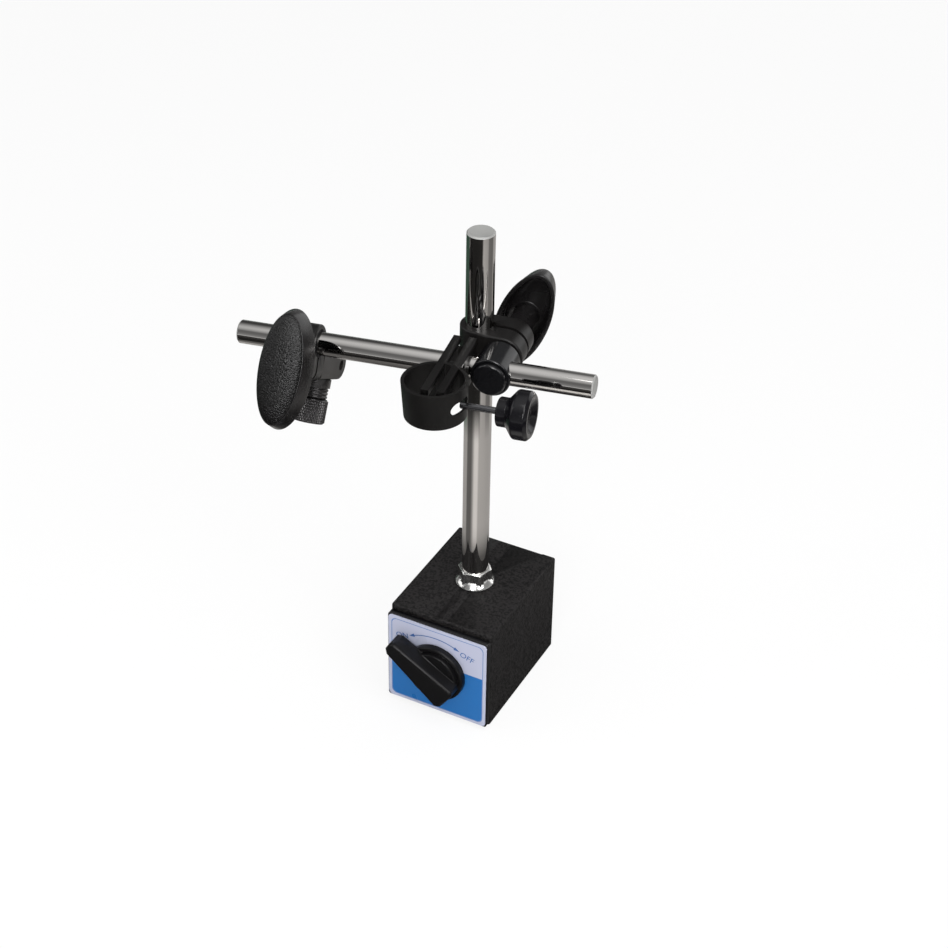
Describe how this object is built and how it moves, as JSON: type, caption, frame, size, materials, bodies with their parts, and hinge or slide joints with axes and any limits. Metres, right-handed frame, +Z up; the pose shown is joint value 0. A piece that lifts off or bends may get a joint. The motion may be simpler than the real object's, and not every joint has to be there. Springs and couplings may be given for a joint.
{
  "type": "magnetic indicator stand",
  "caption": "Switchable magnet base with a round column and a clamped cross rod that carries a ring and a collet holder for a dial indicator.",
  "frame": {"origin": "middle of the base block's underside, below the column's axis", "axes": "+X right along the front of the base, +Y to the back, +Z up along the column"},
  "size_m": [0.1537, 0.1084, 0.231],
  "materials": {
    "base_paint": "fine wrinkle",
    "strip_paint": "fine wrinkle",
    "plate_metal": "satin",
    "label_print": "gloss",
    "screw_steel": "satin",
    "brass_bush": "satin",
    "rotor_steel": "satin",
    "magnet_grey": "matte",
    "switch_plastic": "satin",
    "nut_nickel": "bright",
    "column_chrome": "bright",
    "rod_chrome": "bright",
    "clamp_black": "satin",
    "washer_black": "matte",
    "sleeve_black": "gloss",
    "eye_black": "gloss",
    "knob_plastic": "pebbled",
    "insert_steel": "satin",
    "ring_black": "satin",
    "screw_chrome": "bright",
    "thumb_plastic": "gloss",
    "bush_black": "matte",
    "holder_metal": "satin",
    "collet_steel": "knurled"
  },
  "bodies": {
    "base": {"pole_left": "base_paint", "pole_right": "base_paint", "strip_top": "strip_paint", "strip_bottom": "strip_paint", "front_plate": "plate_metal", "label_plate": "label_print", "plate_screws": "screw_steel", "front_bush": "brass_bush", "rear_bush": "brass_bush", "column_nut": "nut_nickel"},
    "rotor": {"front_spindle": "rotor_steel", "rear_spindle": "rotor_steel", "rotor_pole_a": "rotor_steel", "rotor_pole_b": "rotor_steel", "rotor_magnet": "magnet_grey", "switch_knob": "switch_plastic"},
    "column": {"column": "column_chrome"},
    "column_clamp": {"column_clamp": "clamp_black"},
    "rear_knob": {"rear_knob": "knob_plastic", "rear_knob_insert": "insert_steel"},
    "swivel": {"friction_washer": "washer_black", "rod_sleeve": "sleeve_black", "eye_stud": "eye_black"},
    "cross_rod": {"cross_rod": "rod_chrome"},
    "ring_holder": {"ring_holder": "ring_black"},
    "thumb_screw": {"thumb_screw": "screw_chrome", "thumb_knob": "thumb_plastic"},
    "clamp_bush": {"clamp_bush": "bush_black"},
    "rod_clamp": {"rod_clamp": "clamp_black"},
    "front_knob": {"front_knob": "knob_plastic", "front_knob_insert": "insert_steel"},
    "stem_holder": {"holder_stud": "insert_steel", "stem_holder": "holder_metal", "collet_body": "collet_steel"},
    "collet_nut": {"collet_nut": "collet_steel"}
  },
  "joints": [
    {"name": "magnet_switch", "type": "hinge", "parent": "base", "child": "rotor", "pos_m": [0, 0, 0.0256], "axis": [0, 1, 0], "range_deg": [0, 90]},
    {"name": "column_turn", "type": "hinge", "parent": "base", "child": "column", "pos_m": [0, 0, 0.052], "axis": [0, 0, 1], "continuous": true},
    {"name": "clamp_height", "type": "slide", "parent": "column", "child": "column_clamp", "axis": [0, 0, 1], "range_m": [-0.07, 0.038]},
    {"name": "rear_knob_turn", "type": "hinge", "parent": "column_clamp", "child": "rear_knob", "pos_m": [0.00903, 0.0219, 0.1792], "axis": [-0.1736, 0.9848, 0], "continuous": true},
    {"name": "arm_swing", "type": "hinge", "parent": "column_clamp", "child": "swivel", "pos_m": [0.01607, -0.01798, 0.1792], "axis": [0.1736, -0.9848, 0], "range_deg": [-60, 40]},
    {"name": "arm_slide", "type": "slide", "parent": "swivel", "child": "cross_rod", "axis": [0.9844, 0.1736, 0.0279], "range_m": [-0.03, 0]},
    {"name": "ring_slide", "type": "slide", "parent": "cross_rod", "child": "ring_holder", "axis": [0.9844, 0.1736, 0.0279], "range_m": [-0.02, 0]},
    {"name": "thumb_screw_turn", "type": "hinge", "parent": "ring_holder", "child": "thumb_screw", "pos_m": [0.02345, -0.04227, 0.17733], "axis": [0.9844, 0.1736, 0.0279], "continuous": true},
    {"name": "bush_slide", "type": "slide", "parent": "cross_rod", "child": "clamp_bush", "axis": [0.9844, 0.1736, 0.0279], "range_m": [-0.022, 0.01]},
    {"name": "grip_turn", "type": "hinge", "parent": "clamp_bush", "child": "rod_clamp", "pos_m": [-0.06426, -0.03215, 0.17692], "axis": [0.9844, 0.1736, 0.0279], "range_deg": [-60, 90]},
    {"name": "front_knob_turn", "type": "hinge", "parent": "rod_clamp", "child": "front_knob", "pos_m": [-0.06026, -0.05487, 0.17716], "axis": [0.1357, -0.851, 0.5073], "continuous": true},
    {"name": "holder_turn", "type": "hinge", "parent": "rod_clamp", "child": "stem_holder", "pos_m": [-0.06407, -0.03095, 0.16291], "axis": [-0.1357, 0.851, -0.5073], "range_deg": [-120, 120]},
    {"name": "collet_nut_turn", "type": "hinge", "parent": "stem_holder", "child": "collet_nut", "pos_m": [-0.06449, -0.0312, 0.1421], "axis": [0.055, -0.5048, -0.8615], "continuous": true}
  ]
}
